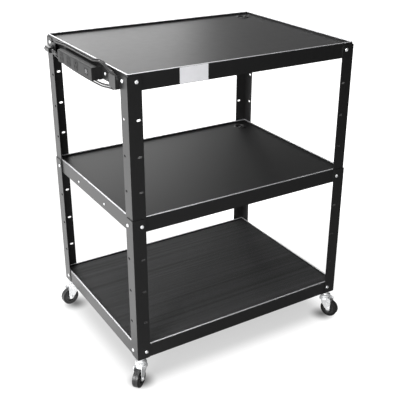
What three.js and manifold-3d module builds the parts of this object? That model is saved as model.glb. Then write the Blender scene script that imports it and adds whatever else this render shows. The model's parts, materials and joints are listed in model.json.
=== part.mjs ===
// Audio visual cart: three steel tray shelves on four two-piece angle legs, four swivel casters,
// and an outlet strip with a wound power cord on the left end of the top shelf.
// Millimetres, +Z up, front towards -Y. The origin is on the floor under the middle of the cart.

import * as THREE from 'three';
import { mergeVertices } from 'three/addons/utils/BufferGeometryUtils.js';
import Module from 'manifold-3d';

const wasm = await Module();
wasm.setup();

// Driving dimensions
const cartWidth = 812.8;
const cartDepth = 609.6;
const legClearance = 103;
const lowerLegLength = 496;
const upperBayHeight = 438;

// Clearances
const seat = 0.3;
const weldDistance = 1e-4;
const overrun = 5;

// Legs: steel angle, the upper one nested inside the lower one
const legFlange = 44.5;
const legGauge = 2;
const legCornerRadius = 9;
const legTopBelowRim = 7;
const legOverlap = 47;
const holeRadius = 3.6;
const legSlotLength = 13;
const holeInset = 31.5;
const holesPerRun = 5;
const bottomHoleHeight = 24;
const middleHoleBelowSeam = 24;
const topHoleBelowRim = 23;
const gussetSize = 44;
const gussetThickness = 3;
const gussetChamfer = 12;

// Shelves: folded trays with a retaining lip above the panel
const sheetGauge = 1.2;
const flangeHeight = 49;
const lipDepth = 6.5;
const lipWidth = 4;
const lipBevel = 1;
const shelfCornerRadius = 3;
const middleRimAboveSeam = 3;
const holeSides = 8;

// Cable grommets in the back right corner of the two upper shelves
const grommetInsetX = 62;
const grommetInsetY = 58;
const grommetHoleRadius = 20;
const grommetBoreRadius = 17;
const grommetFlangeRadius = 24;
const grommetFlangeHeight = 2.2;
const grommetDimpleMargin = 0.6;
const grommetDimpleDepth = 0.3;
const grommetNeckDepth = 5;

// Ribbed mat in the bottom tray
const matThickness = 2.5;
const matMargin = 2;
const matCornerRadius = 4;

// Casters
const wheelRadius = 31.75;
const tyreWidth = 21;
const tyreEdgeRadius = 2.5;
const hubRadius = 22;
const hubWidth = 19;
const hubRecess = 4;
const hubBossRadius = 8;
const hubWebRadius = 18;
const axleRadius = 4;
const axleHeadRadius = 6.5;
const axleHeadLength = 4;
const runningGap = 0.3;
const stemInset = 20;
const casterTrail = 20;
const forkGauge = 2;
const forkSideGap = 2;
const forkCrownRadius = 21;
const forkCrownBottom = 65;
const forkCrownHeight = 13;
const forkDomeRadius = 15;
const forkArmRadius = 8.5;
const forkArmTopWidth = 33;
const forkArmShoulder = 4;
const forkArmBackShare = 0.4;
const forkArmTopDrop = 2;
const forkArmSkirt = 22;
const kingpinRadius = 4;
const kingpinHeadRadius = 7;
const kingpinHeadHeight = 2.5;
const raceRadius = 19.5;
const raceLip = 3;
const raceNeckRadius = 11;
const raceNeckHeight = 11;
const stemRadius = 5;
const stemAboveGusset = 15;
const stemNutRadius = 9;
const stemNutHeight = 8;
const swivelRestDegrees = { front_left: -142, front_right: -66, back_left: 187, back_right: 33 };

// Outlet strip on the left flange of the top shelf
const bracketFrontGap = 3;
const bracketBackGap = 28.6;
const bracketSpan = cartDepth - 2 * legFlange - bracketFrontGap - bracketBackGap;
const stripToBracketEnd = 114.5;
const stripLength = bracketSpan - 2 * stripToBracketEnd;
const stripHeight = 38;
const stripCentreFromFront = legFlange + bracketFrontGap + bracketSpan / 2;
const stripCentreBelowRim = 30.5;
const mountingPlateGauge = 1.7;
const mountingEarLength = 40;
const mountingPlateHeight = 35;
const stripBaseDepth = 24.5;
const stripCoverDepth = 9;
const stripEdgeRadius = 3;
const stripGrooveDepth = 1.5;
const stripGrooveWidth = 4;
const outletWidthShare = 0.1154;
const outletWidth = outletWidthShare * stripLength;
const outletHeight = 30;
const outletCornerRadius = 7;
const outletOffsetShares = { outlet_back: 0.381, outlet_middle: 0.1655, outlet_front: -0.0575 };
const outletProud = 0.6;
const bladeSlotWidth = 2.2;
const bladeSlotHeight = 8;
const bladeSlotSpacing = 12.7;
const bladeSlotDrop = 3.5;
const groundHoleRadius = 2.6;
const groundHoleRise = 8;
const socketDepth = 6;
const chargerOffsetShare = -0.354;
const chargerOffset = chargerOffsetShare * stripLength;
const chargerWidthShare = 0.0846;
const chargerWidth = chargerWidthShare * stripLength;
const chargerHeight = 20;
const chargerCornerRadius = 2;
const portWidthShare = 0.02;
const portWidth = portWidthShare * stripLength;
const portHeight = 13;
const portSpacingShare = 0.0404;
const portSpacing = portSpacingShare * stripLength;
const portDepth = 6;
const portTongueWidth = 2.6;
const portTongueHeight = 11;

// Cord brackets at both ends of the strip
const bracketGauge = 1.5;
const bracketPocket = 12.8;
const bracketArmLength = 42;
const bracketHeight = 39;
const bracketCornerRadius = 6;

// Power cord wound lengthwise round the strip, and its plug
const cordDiameter = 5.2;
const cordTurns = 3;
const cordPitch = 6;
const cordLayerPitch = 6.2;
const cordInnerRadius = 22.2;
const bracketPinch = 6.4;
const lowerRunSag = 6;
const frontRise = 10;
const frontRiseLength = 140;
const cordSides = 6;
const arcSteps = 8;
const straightSteps = 12;
const leadSteps = 8;
const climbStartShare = 0.46;
const climbEndShare = 0.5;
const reliefLength = 22;
const reliefRootRadius = 5.5;
const reliefTipRadius = 3.8;
const leadInStandOff = 8.5;
const leadOutLength = 62;
const plugStandOff = 28;
const plugBehindBracket = -15;
const plugLength = 34;
const plugWidth = 21;
const plugHeight = 18;
const plugCornerRadius = 5;
const plugReliefLength = 18;
const plugBladeLength = 16;
const plugBladeGauge = 1.5;
const plugBladeHeight = 6.3;
const plugBladeSpacing = 12.7;
const plugPinRadius = 2.4;
const plugPinRise = 5;

// Heights worked out from the driving dimensions
const legBottom = legClearance;
const seamHeight = legBottom + lowerLegLength;
const topRim = seamHeight + upperBayHeight;
const middleRim = seamHeight + middleRimAboveSeam;
const bottomRim = legBottom + seat + flangeHeight;
const bottomHole = legBottom + bottomHoleHeight;
const middleHole = seamHeight - middleHoleBelowSeam;
const topHole = topRim - topHoleBelowRim;
const lowerHolePitch = (middleHole - bottomHole) / (holesPerRun - 1);
const upperHolePitch = (topHole - middleHole) / (holesPerRun - 1);

// Insets of each nested layer from the cart's outer faces
const upperLegInset = legGauge + seat;
const upperShelfInset = upperLegInset + legGauge + seat;
const bottomShelfInset = legGauge + seat;

const paint = {
  black: { color: 0x1d1d1f, roughness: 0.45, metalness: 0.3 },
  rubber: { color: 0x1a1a1b, roughness: 0.85, metalness: 0 },
  plastic: { color: 0x202022, roughness: 0.5, metalness: 0 },
  pale: { color: 0xb9babb, roughness: 0.5, metalness: 0 },
  zinc: { color: 0xc6c8ca, roughness: 0.25, metalness: 0.9 },
};

const cart = new THREE.Group();

function addMesh(name, geometry, look, parent = cart) {
  const mesh = new THREE.Mesh(geometry, new THREE.MeshStandardMaterial(look));
  mesh.name = name;
  parent.add(mesh);
  return mesh;
}

// Joining and cutting
function toSolid(geometry) {
  const bare = geometry.clone();
  for (const key of Object.keys(bare.attributes)) {
    if (key !== 'position') bare.deleteAttribute(key);
  }
  const merged = mergeVertices(bare.index ? bare.toNonIndexed() : bare, weldDistance);
  return new wasm.Manifold(new wasm.Mesh({
    numProp: 3,
    vertProperties: new Float32Array(merged.attributes.position.array),
    triVerts: new Uint32Array(merged.index.array),
  }));
}

function toGeometry(solid) {
  const mesh = solid.getMesh();
  const geometry = new THREE.BufferGeometry();
  geometry.setAttribute('position', new THREE.BufferAttribute(new Float32Array(mesh.vertProperties), 3));
  geometry.setIndex(new THREE.BufferAttribute(new Uint32Array(mesh.triVerts), 1));
  return geometry;
}

function join(geometries) {
  return toGeometry(geometries.map(toSolid).reduce((sum, next) => sum.add(next)));
}

function cut(geometry, tools) {
  return toGeometry(tools.map(toSolid).reduce((rest, tool) => rest.subtract(tool), toSolid(geometry)));
}

// Outlines
function roundedRectangle(width, height, radii) {
  const [bottomLeft, bottomRight, topRight, topLeft] = radii;
  const x = width / 2;
  const y = height / 2;
  const shape = new THREE.Shape();
  shape.moveTo(-x + bottomLeft, -y);
  shape.lineTo(x - bottomRight, -y);
  if (bottomRight > 0) shape.absarc(x - bottomRight, -y + bottomRight, bottomRight, -Math.PI / 2, 0, false);
  shape.lineTo(x, y - topRight);
  if (topRight > 0) shape.absarc(x - topRight, y - topRight, topRight, 0, Math.PI / 2, false);
  shape.lineTo(-x + topLeft, y);
  if (topLeft > 0) shape.absarc(-x + topLeft, y - topLeft, topLeft, Math.PI / 2, Math.PI, false);
  shape.lineTo(-x, -y + bottomLeft);
  if (bottomLeft > 0) shape.absarc(-x + bottomLeft, -y + bottomLeft, bottomLeft, Math.PI, 1.5 * Math.PI, false);
  return shape;
}

function evenRectangle(width, height, radius) {
  return roundedRectangle(width, height, [radius, radius, radius, radius]);
}

function circleHole(x, y, radius, sides = holeSides) {
  const path = new THREE.Path();
  for (let i = 0; i <= sides; i += 1) {
    const angle = (-2 * Math.PI * i) / sides;
    const point = [x + radius * Math.cos(angle), y + radius * Math.sin(angle)];
    if (i === 0) path.moveTo(...point);
    else path.lineTo(...point);
  }
  return path;
}

function extrude(shape, depth, curveSegments = 4) {
  return new THREE.ExtrudeGeometry(shape, { depth, bevelEnabled: false, curveSegments });
}

function rod(radius, length, sides = holeSides) {
  return new THREE.CylinderGeometry(radius, radius, length, sides);
}

// Turns an extrusion so that shape x, shape y and depth point along the given axes
function orient(geometry, alongX, alongY, origin) {
  const x = new THREE.Vector3(...alongX);
  const y = new THREE.Vector3(...alongY);
  const z = new THREE.Vector3().crossVectors(x, y);
  const matrix = new THREE.Matrix4().makeBasis(x, y, z);
  matrix.setPosition(...origin);
  return geometry.applyMatrix4(matrix);
}

// One leg segment in its own corner: the corner edge is at x = 0, y = 0 and the metal runs to +x and +y
function legSegment(length, holeHeights, topRounded, bottomRounded) {
  const top = topRounded ? legCornerRadius : 0;
  const bottom = bottomRounded ? legCornerRadius : 0;
  const outline = roundedRectangle(legFlange, length, [0, bottom, top, 0]);
  for (const height of holeHeights) {
    outline.holes.push(slotHole(holeInset - legFlange / 2, height - length / 2, holeRadius, legSlotLength));
  }
  const alongX = orient(extrude(outline, legGauge), [1, 0, 0], [0, 0, 1], [legFlange / 2, legGauge, length / 2]);
  const alongY = extrude(outline, legGauge);
  alongY.translate(legFlange / 2, length / 2, 0);
  orient(alongY, [0, 1, 0], [0, 0, 1], [0, 0, 0]);
  return [alongX, alongY];
}

// The gusset at the foot of a leg takes the caster stem
function slotHole(x, y, radius, length, sides = holeSides) {
  const path = new THREE.Path();
  const reach = length / 2 - radius;
  const ends = [1, -1].flatMap((side) => Array.from({ length: sides / 2 + 1 }, (_, i) => {
    const angle = (Math.PI / 2 - (2 * Math.PI * i) / sides) * side;
    return [x + side * (reach + radius * Math.cos(angle)), y + radius * Math.sin(angle)];
  }));
  path.moveTo(...ends[0]);
  for (const point of [...ends.slice(1), ends[0]]) path.lineTo(...point);
  return path;
}

function legGusset() {
  const inner = legGauge / 2;
  const outer = gussetSize;
  const shape = new THREE.Shape([
    new THREE.Vector2(inner, inner),
    new THREE.Vector2(outer, inner),
    new THREE.Vector2(outer, outer - gussetChamfer),
    new THREE.Vector2(outer - gussetChamfer, outer),
    new THREE.Vector2(inner, outer),
  ]);
  shape.holes.push(circleHole(stemInset, stemInset, stemRadius + runningGap, 12));
  return extrude(shape, gussetThickness);
}

const corners = {
  front_left: [-1, -1],
  front_right: [1, -1],
  back_left: [-1, 1],
  back_right: [1, 1],
};

// Puts corner geometry into place; a mirrored corner has its triangles turned back outwards
function placeInCorner(geometry, [sideX, sideY], inset, z) {
  const placed = geometry.index ? geometry.toNonIndexed() : geometry.clone();
  placed.scale(-sideX, -sideY, 1);
  if (sideX * sideY < 0) {
    const position = placed.attributes.position;
    for (let i = 0; i < position.count; i += 3) {
      for (let k = 0; k < 3; k += 1) {
        const keep = position.getComponent(i + 1, k);
        position.setComponent(i + 1, k, position.getComponent(i + 2, k));
        position.setComponent(i + 2, k, keep);
      }
    }
  }
  placed.deleteAttribute('normal');
  placed.translate(sideX * (cartWidth / 2 - inset), sideY * (cartDepth / 2 - inset), z);
  placed.computeVertexNormals();
  return placed;
}

function runHeights(first, pitch, base) {
  return Array.from({ length: holesPerRun }, (_, i) => first + i * pitch - base);
}

function addLegs() {
  const upperBottom = seamHeight - legOverlap;
  const upperLength = topRim - legTopBelowRim - upperBottom;
  const lower = legSegment(lowerLegLength, runHeights(bottomHole, lowerHolePitch, legBottom), true, true);
  const upper = legSegment(upperLength, runHeights(middleHole, upperHolePitch, upperBottom), true, true);
  const lowerLeg = join([...lower, legGusset()]);
  const upperLeg = join(upper);
  for (const [corner, sides] of Object.entries(corners)) {
    addMesh(`lower_leg_${corner}`, placeInCorner(lowerLeg, sides, 0, legBottom), paint.black);
    addMesh(`upper_leg_${corner}`, placeInCorner(upperLeg, sides, upperLegInset, upperBottom), paint.black);
  }
}

// A closed skin through stacked rounded-rectangle rings, each given by its inset and height
function ringStack(width, depth, radius, rings, cornerSteps = 2) {
  const positions = [];
  const indices = [];
  const perRing = 4 * (cornerSteps + 1);
  for (const [inset, z] of rings) {
    const r = Math.max(radius - inset, radius / 4);
    const x = width / 2 - inset - r;
    const y = depth / 2 - inset - r;
    const centres = [[x, y], [-x, y], [-x, -y], [x, -y]];
    centres.forEach(([cx, cy], quadrant) => {
      for (let i = 0; i <= cornerSteps; i += 1) {
        const angle = (quadrant + i / cornerSteps) * (Math.PI / 2);
        positions.push(cx + r * Math.cos(angle), cy + r * Math.sin(angle), z);
      }
    });
  }
  for (let ring = 0; ring + 1 < rings.length; ring += 1) {
    for (let i = 0; i < perRing; i += 1) {
      const a = ring * perRing + i;
      const b = ring * perRing + ((i + 1) % perRing);
      indices.push(a, a + perRing, b, b, a + perRing, b + perRing);
    }
  }
  const last = (rings.length - 1) * perRing;
  for (let i = 1; i + 1 < perRing; i += 1) {
    indices.push(0, i, i + 1);
    indices.push(last, last + i + 1, last + i);
  }
  const geometry = new THREE.BufferGeometry();
  geometry.setAttribute('position', new THREE.Float32BufferAttribute(positions, 3));
  geometry.setIndex(indices);
  return geometry;
}

function shelf(inset, holeDrop, withGrommet) {
  const width = cartWidth - 2 * inset;
  const depth = cartDepth - 2 * inset;
  const tray = ringStack(width, depth, shelfCornerRadius, [
    [lipWidth, -lipDepth],
    [lipWidth, -lipBevel],
    [lipWidth - lipBevel, 0],
    [lipBevel, 0],
    [0, -lipBevel],
    [0, -flangeHeight],
    [sheetGauge, -flangeHeight],
    [sheetGauge, -lipDepth - sheetGauge],
  ]);
  const tools = [];
  for (const side of [-1, 1]) {
    const alongY = rod(holeRadius, depth + overrun);
    alongY.translate(side * (cartWidth / 2 - holeInset), 0, -holeDrop);
    tools.push(alongY);
    const alongX = rod(holeRadius, width + overrun);
    alongX.rotateZ(Math.PI / 2);
    alongX.translate(0, side * (cartDepth / 2 - holeInset), -holeDrop);
    tools.push(alongX);
  }
  if (withGrommet) {
    const hole = rod(grommetHoleRadius, overrun, 24);
    hole.rotateX(Math.PI / 2);
    hole.translate(cartWidth / 2 - grommetInsetX, cartDepth / 2 - grommetInsetY, -lipDepth - sheetGauge / 2);
    tools.push(hole);
    const dimple = rod(grommetFlangeRadius + grommetDimpleMargin, 2 * grommetDimpleDepth, 24);
    dimple.rotateX(Math.PI / 2);
    dimple.translate(cartWidth / 2 - grommetInsetX, cartDepth / 2 - grommetInsetY, -lipDepth);
    tools.push(dimple);
  }
  return cut(tray, tools);
}

// Room for the leg gussets at the lower edge of the bottom shelf
function gussetNotches() {
  const size = gussetSize + seat + overrun;
  return Object.values(corners).map(([sideX, sideY]) => {
    const notch = new THREE.BoxGeometry(size, size, gussetThickness + overrun);
    const reach = overrun - size / 2;
    notch.translate(sideX * (cartWidth / 2 + reach), sideY * (cartDepth / 2 + reach),
      gussetThickness - flangeHeight - (gussetThickness + overrun) / 2);
    return notch;
  });
}

function grommet() {
  const profile = [
    [grommetBoreRadius, -grommetNeckDepth],
    [grommetHoleRadius - seat, -grommetNeckDepth],
    [grommetHoleRadius - seat, seat - grommetDimpleDepth],
    [grommetFlangeRadius, seat - grommetDimpleDepth],
    [grommetFlangeRadius - grommetFlangeHeight / 2, grommetFlangeHeight + seat],
    [grommetBoreRadius + grommetFlangeHeight / 2, grommetFlangeHeight + seat],
    [grommetBoreRadius, seat],
    [grommetBoreRadius, -grommetNeckDepth],
  ];
  return lathe(profile, 24);
}

// Turns a list of [radius, height] points round the Z axis
function lathe(profile, sides) {
  const geometry = new THREE.LatheGeometry(profile.map(([r, z]) => new THREE.Vector2(r, z)), sides);
  geometry.rotateX(Math.PI / 2);
  return toGeometry(toSolid(geometry));
}

function addShelves() {
  const rims = {
    top_shelf: [topRim, upperShelfInset, topRim - topHole, true],
    middle_shelf: [middleRim, upperShelfInset, middleRim - middleHole, true],
    bottom_shelf: [bottomRim, bottomShelfInset, bottomRim - bottomHole, false],
  };
  for (const [name, [rim, inset, holeDrop, withGrommet]] of Object.entries(rims)) {
    const tray = shelf(inset, holeDrop, withGrommet);
    const notched = name === 'bottom_shelf' ? cut(tray, gussetNotches()) : tray;
    const mesh = addMesh(name, notched, paint.black);
    mesh.position.z = rim;
    if (withGrommet) {
      const ring = addMesh(`${name.split('_')[0]}_grommet`, grommet(), paint.plastic);
      const place = [cartWidth / 2 - grommetInsetX, cartDepth / 2 - grommetInsetY, rim - lipDepth];
      ring.position.set(...place);
    }
  }
}

function addMat() {
  const margin = bottomShelfInset + lipWidth + matMargin;
  const outline = evenRectangle(cartWidth - 2 * margin, cartDepth - 2 * margin, matCornerRadius);
  const mat = addMesh('ribbed_mat', extrude(outline, matThickness, 2), paint.rubber);
  mat.position.z = bottomRim - lipDepth + seat;
}

// Casters are made with the stem on the Z axis, z = 0 on the floor and the wheel trailing to +X
function casterStem() {
  const raceBottom = forkCrownBottom + forkCrownHeight + seat;
  const neckTop = legBottom - seat;
  const stemTop = legBottom + gussetThickness + stemAboveGusset;
  const headBottom = forkCrownBottom - seat - kingpinHeadHeight;
  const shoulder = neckTop - raceNeckHeight;
  return lathe([
    [0, headBottom],
    [kingpinHeadRadius, headBottom],
    [kingpinHeadRadius, forkCrownBottom - seat],
    [kingpinRadius, forkCrownBottom - seat],
    [kingpinRadius, raceBottom],
    [raceRadius, raceBottom],
    [raceRadius, raceBottom + raceLip],
    [raceNeckRadius, shoulder],
    [raceNeckRadius, neckTop],
    [stemRadius, neckTop],
    [stemRadius, stemTop],
    [0, stemTop],
  ], 20);
}

function casterNut() {
  const hexagon = new THREE.Shape();
  for (let i = 0; i < 6; i += 1) {
    const angle = (i * Math.PI) / 3;
    const point = [stemNutRadius * Math.cos(angle), stemNutRadius * Math.sin(angle)];
    if (i === 0) hexagon.moveTo(...point);
    else hexagon.lineTo(...point);
  }
  hexagon.holes.push(circleHole(0, 0, stemRadius + runningGap, 12));
  const nut = extrude(hexagon, stemNutHeight);
  nut.translate(0, 0, legBottom + gussetThickness + seat);
  return nut;
}

function casterFork() {
  const crownTop = forkCrownBottom + forkCrownHeight;
  const crown = lathe([
    [kingpinRadius + runningGap, forkCrownBottom],
    [forkCrownRadius, forkCrownBottom],
    [forkCrownRadius, forkCrownBottom + forkCrownHeight / 2],
    [forkDomeRadius, crownTop],
    [kingpinRadius + runningGap, crownTop],
    [kingpinRadius + runningGap, forkCrownBottom],
  ], 24);
  const armTop = crownTop - forkArmTopDrop;
  const heel = -forkCrownRadius * forkArmBackShare;
  const skirt = armTop - forkArmSkirt;
  const reach = Math.hypot(casterTrail - heel, skirt - wheelRadius);
  const tangent = Math.atan2(skirt - wheelRadius, heel - casterTrail) + Math.acos(forkArmRadius / reach);
  const arm = new THREE.Shape();
  arm.moveTo(heel + forkArmTopWidth, armTop);
  arm.lineTo(heel, armTop);
  arm.lineTo(heel, skirt);
  arm.absarc(casterTrail, wheelRadius, forkArmRadius, tangent, 2 * Math.PI, false);
  arm.lineTo(casterTrail + forkArmRadius, armTop - forkArmShoulder);
  arm.holes.push(circleHole(casterTrail, wheelRadius, axleRadius + runningGap, 12));
  const armOffset = tyreWidth / 2 + forkSideGap;
  const arms = [-1, 1].map((side) => {
    const plate = extrude(arm, forkGauge, 6);
    const shift = side > 0 ? armOffset + forkGauge : -armOffset;
    return orient(plate, [1, 0, 0], [0, 0, 1], [0, shift, 0]);
  });
  return join([crown, ...arms]);
}

function casterAxle() {
  const inner = tyreWidth / 2 + forkSideGap + forkGauge + seat;
  const outer = inner + axleHeadLength;
  const bolt = lathe([
    [0, -outer],
    [axleHeadRadius, -outer],
    [axleHeadRadius, -inner],
    [axleRadius, -inner],
    [axleRadius, inner],
    [axleHeadRadius, inner],
    [axleHeadRadius, outer],
    [0, outer],
  ], 12);
  bolt.rotateX(Math.PI / 2);
  bolt.translate(casterTrail, 0, wheelRadius);
  return bolt;
}

function casterTyre() {
  const half = tyreWidth / 2;
  const bore = hubRadius + seat;
  const tyre = lathe([
    [bore, -half],
    [wheelRadius - tyreEdgeRadius, -half],
    [wheelRadius, -half + tyreEdgeRadius],
    [wheelRadius, half - tyreEdgeRadius],
    [wheelRadius - tyreEdgeRadius, half],
    [bore, half],
    [bore, -half],
  ], 32);
  tyre.rotateX(Math.PI / 2);
  tyre.translate(casterTrail, 0, wheelRadius);
  return tyre;
}

function casterHub() {
  const half = hubWidth / 2;
  const bossHalf = tyreWidth / 2 + forkSideGap - seat;
  const bore = axleRadius + runningGap;
  const web = half - hubRecess;
  const side = [[bore, bossHalf], [hubBossRadius, bossHalf], [hubBossRadius, web], [hubWebRadius, web],
    [hubWebRadius, half], [hubRadius, half]];
  const mirrored = side.map(([r, z]) => [r, -z]).reverse();
  const profile = [...side, ...mirrored, side[0]].reverse();
  const hub = lathe(profile, 20);
  hub.rotateX(Math.PI / 2);
  hub.translate(casterTrail, 0, wheelRadius);
  return hub;
}

function addCasters() {
  for (const [corner, [sideX, sideY]] of Object.entries(corners)) {
    const group = new THREE.Group();
    group.position.set(sideX * (cartWidth / 2 - stemInset), sideY * (cartDepth / 2 - stemInset), 0);
    const swivel = new THREE.Group();
    swivel.rotation.z = THREE.MathUtils.degToRad(swivelRestDegrees[corner]);
    group.add(swivel);
    cart.add(group);
    addMesh(`caster_stem_${corner}`, casterStem(), paint.zinc, group);
    addMesh(`caster_nut_${corner}`, casterNut(), paint.zinc, group);
    addMesh(`caster_fork_${corner}`, casterFork(), paint.zinc, swivel);
    addMesh(`caster_axle_${corner}`, casterAxle(), paint.zinc, swivel);
    addMesh(`caster_hub_${corner}`, casterHub(), paint.plastic, swivel);
    addMesh(`caster_tyre_${corner}`, casterTyre(), paint.rubber, swivel);
  }
}

// The strip's group: x is the stand-off from the shelf flange, y runs to the back, z is up
const stripGroup = new THREE.Group();
const toLeftFlange = -(cartWidth / 2 - upperShelfInset);

// Extrusions here have their outline in the plane of the flange and grow away from it
function faceExtrusion(shape, standOff, depth, y = 0, z = 0, curveSegments = 3) {
  return orient(extrude(shape, depth, curveSegments), [0, -1, 0], [0, 0, 1], [-standOff, y, z]);
}

function coverProfile(depth) {
  const half = stripHeight / 2;
  const bend = stripEdgeRadius;
  const shape = new THREE.Shape();
  shape.moveTo(0, -half);
  shape.lineTo(depth - bend, -half);
  shape.absarc(depth - bend, -half + bend, bend, -Math.PI / 2, 0, false);
  shape.absarc(depth - bend, half - bend, bend, 0, Math.PI / 2, false);
  shape.lineTo(0, half);
  return shape;
}

// The base has one long groove in its top and one in its bottom
function baseProfile(depth) {
  const half = stripHeight / 2;
  const floor = half - stripGrooveDepth;
  const near = (depth - stripGrooveWidth) / 2;
  const far = (depth + stripGrooveWidth) / 2;
  const lower = [[0, -half], [near, -half], [near, -floor], [far, -floor], [far, -half], [depth, -half]];
  const upper = lower.map(([x, y]) => [x, -y]).reverse();
  return new THREE.Shape([...lower, ...upper].map(([x, y]) => new THREE.Vector2(x, y)));
}

// Profile in the plane of stand-off and height, extruded along the strip
function alongStrip(shape, standOff, length) {
  return orient(extrude(shape, length, 3), [-1, 0, 0], [0, 0, 1], [-standOff, -length / 2, 0]);
}

function addStrip() {
  const ear = stripLength + 2 * mountingEarLength;
  const plate = evenRectangle(ear, mountingPlateHeight, mountingPlateHeight / 3);
  addMesh('strip_mounting_plate', faceExtrusion(plate, seat, mountingPlateGauge), paint.black, stripGroup);

  const baseStart = 2 * seat + mountingPlateGauge;
  const coverStart = baseStart + stripBaseDepth + seat;
  const base = alongStrip(baseProfile(stripBaseDepth), baseStart, stripLength);
  addMesh('strip_base', base, paint.black, stripGroup);

  const insertDepth = stripCoverDepth + outletProud;
  const windows = Object.values(outletOffsetShares).map((share) => {
    const offset = share * stripLength;
    const size = evenRectangle(outletWidth + 2 * seat, outletHeight + 2 * seat, outletCornerRadius + seat);
    return faceExtrusion(size, coverStart - overrun, stripCoverDepth + 2 * overrun, offset, 0);
  });
  const chargerWindow = evenRectangle(chargerWidth + 2 * seat, chargerHeight + 2 * seat, chargerCornerRadius + seat);
  windows.push(faceExtrusion(chargerWindow, coverStart - overrun, stripCoverDepth + 2 * overrun, chargerOffset, 0));
  const cover = cut(alongStrip(coverProfile(stripCoverDepth), coverStart, stripLength), windows);
  addMesh('strip_cover', cover, paint.black, stripGroup);

  for (const [name, share] of Object.entries(outletOffsetShares)) {
    const offset = share * stripLength;
    const face = faceExtrusion(evenRectangle(outletWidth, outletHeight, outletCornerRadius), coverStart,
      insertDepth, offset, 0);
    const socketStart = coverStart + insertDepth - socketDepth;
    const slots = [-1, 1].map((side) => faceExtrusion(evenRectangle(bladeSlotWidth, bladeSlotHeight, 0),
      socketStart, socketDepth + overrun, offset + (side * bladeSlotSpacing) / 2, -bladeSlotDrop));
    const ground = new THREE.Shape(circleHole(0, 0, groundHoleRadius, 10).getPoints().reverse());
    slots.push(faceExtrusion(ground, socketStart, socketDepth + overrun, offset, groundHoleRise));
    addMesh(name, cut(face, slots), paint.plastic, stripGroup);
  }

  const chargerFace = faceExtrusion(evenRectangle(chargerWidth, chargerHeight, chargerCornerRadius), coverStart,
    insertDepth, chargerOffset, 0);
  const portStart = coverStart + insertDepth - portDepth;
  const ports = [-1, 1].map((side) => faceExtrusion(evenRectangle(portWidth, portHeight, 0),
    portStart, portDepth + overrun, chargerOffset + (side * portSpacing) / 2, 0));
  addMesh('charger_ports', cut(chargerFace, ports), paint.plastic, stripGroup);
  for (const [end, side] of Object.entries({ front: -1, back: 1 })) {
    const tongue = faceExtrusion(evenRectangle(portTongueWidth, portTongueHeight, 0),
      portStart + seat, portDepth - 2 * seat, chargerOffset + (side * portSpacing) / 2, 0);
    addMesh(`charger_tongue_${end}`, tongue, paint.pale, stripGroup);
  }
}

function cordBracket(side) {
  const webOuter = (side * bracketSpan) / 2;
  const armMiddle = webOuter - (side * bracketArmLength) / 2;
  const corner = bracketCornerRadius;
  const radii = side > 0 ? [0, corner, corner, 0] : [corner, 0, 0, corner];
  const arm = roundedRectangle(bracketArmLength, bracketHeight, radii);
  const outerPlate = faceExtrusion(arm, seat + bracketGauge + bracketPocket, bracketGauge, armMiddle, 0);
  const foot = faceExtrusion(arm, seat, bracketGauge, armMiddle, 0);
  const webShape = evenRectangle(bracketGauge, bracketHeight, 0);
  const web = faceExtrusion(webShape, seat, 2 * bracketGauge + bracketPocket, webOuter - (side * bracketGauge) / 2, 0);
  return join([outerPlate, foot, web]);
}

const smooth = (t) => t * t * (3 - 2 * t);
const ease = (t) => (1 - Math.cos(Math.PI * t)) / 2;

// The loops draw in from the strip's ends towards the brackets. The lower runs sag between them, and the
// upper runs stand up in front of the strip.
function drawnIn(y, halfRun) {
  const share = (Math.abs(y) - stripLength / 2) / (halfRun - stripLength / 2);
  return bracketPinch * smooth(Math.min(1, Math.max(0, share)));
}

function topRun(y, radius, halfRun) {
  const share = Math.min(1, (y + halfRun) / frontRiseLength);
  return radius - drawnIn(y, halfRun) + frontRise * Math.sin(Math.PI * share) ** 2;
}

function bottomRun(y, radius, halfRun) {
  return drawnIn(y, halfRun) - radius - lowerRunSag * (1 - (y / halfRun) ** 2);
}

// Position along one turn of the winding: back bend, top run, front bend, bottom run
function turnPoint(step, radius, halfRun) {
  const perTurn = 2 * (arcSteps + straightSteps);
  const bend = radius - bracketPinch;
  const s = step % perTurn;
  if (s <= arcSteps) {
    const angle = -Math.PI / 2 + (s / arcSteps) * Math.PI;
    return [halfRun + bend * Math.cos(angle), bend * Math.sin(angle)];
  }
  if (s <= arcSteps + straightSteps) {
    const y = halfRun - ((s - arcSteps) / straightSteps) * 2 * halfRun;
    return [y, topRun(y, radius, halfRun)];
  }
  if (s <= 2 * arcSteps + straightSteps) {
    const angle = Math.PI / 2 + ((s - arcSteps - straightSteps) / arcSteps) * Math.PI;
    return [-halfRun + bend * Math.cos(angle), bend * Math.sin(angle)];
  }
  const y = -halfRun + ((s - 2 * arcSteps - straightSteps) / straightSteps) * 2 * halfRun;
  return [y, bottomRun(y, radius, halfRun)];
}

// Growth of the winding's radius, in pitches, up to its middle; the second half mirrors the first
function windingGrowth(turn) {
  const t = Math.min(turn, cordTurns - turn);
  const endOfFirstRun = 0.5;
  const startOfLastRun = 1 + arcSteps / (2 * (arcSteps + straightSteps));
  if (t <= endOfFirstRun) return t;
  const share = Math.min(1, (t - endOfFirstRun) / (startOfLastRun - endOfFirstRun));
  return endOfFirstRun + share;
}

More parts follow.
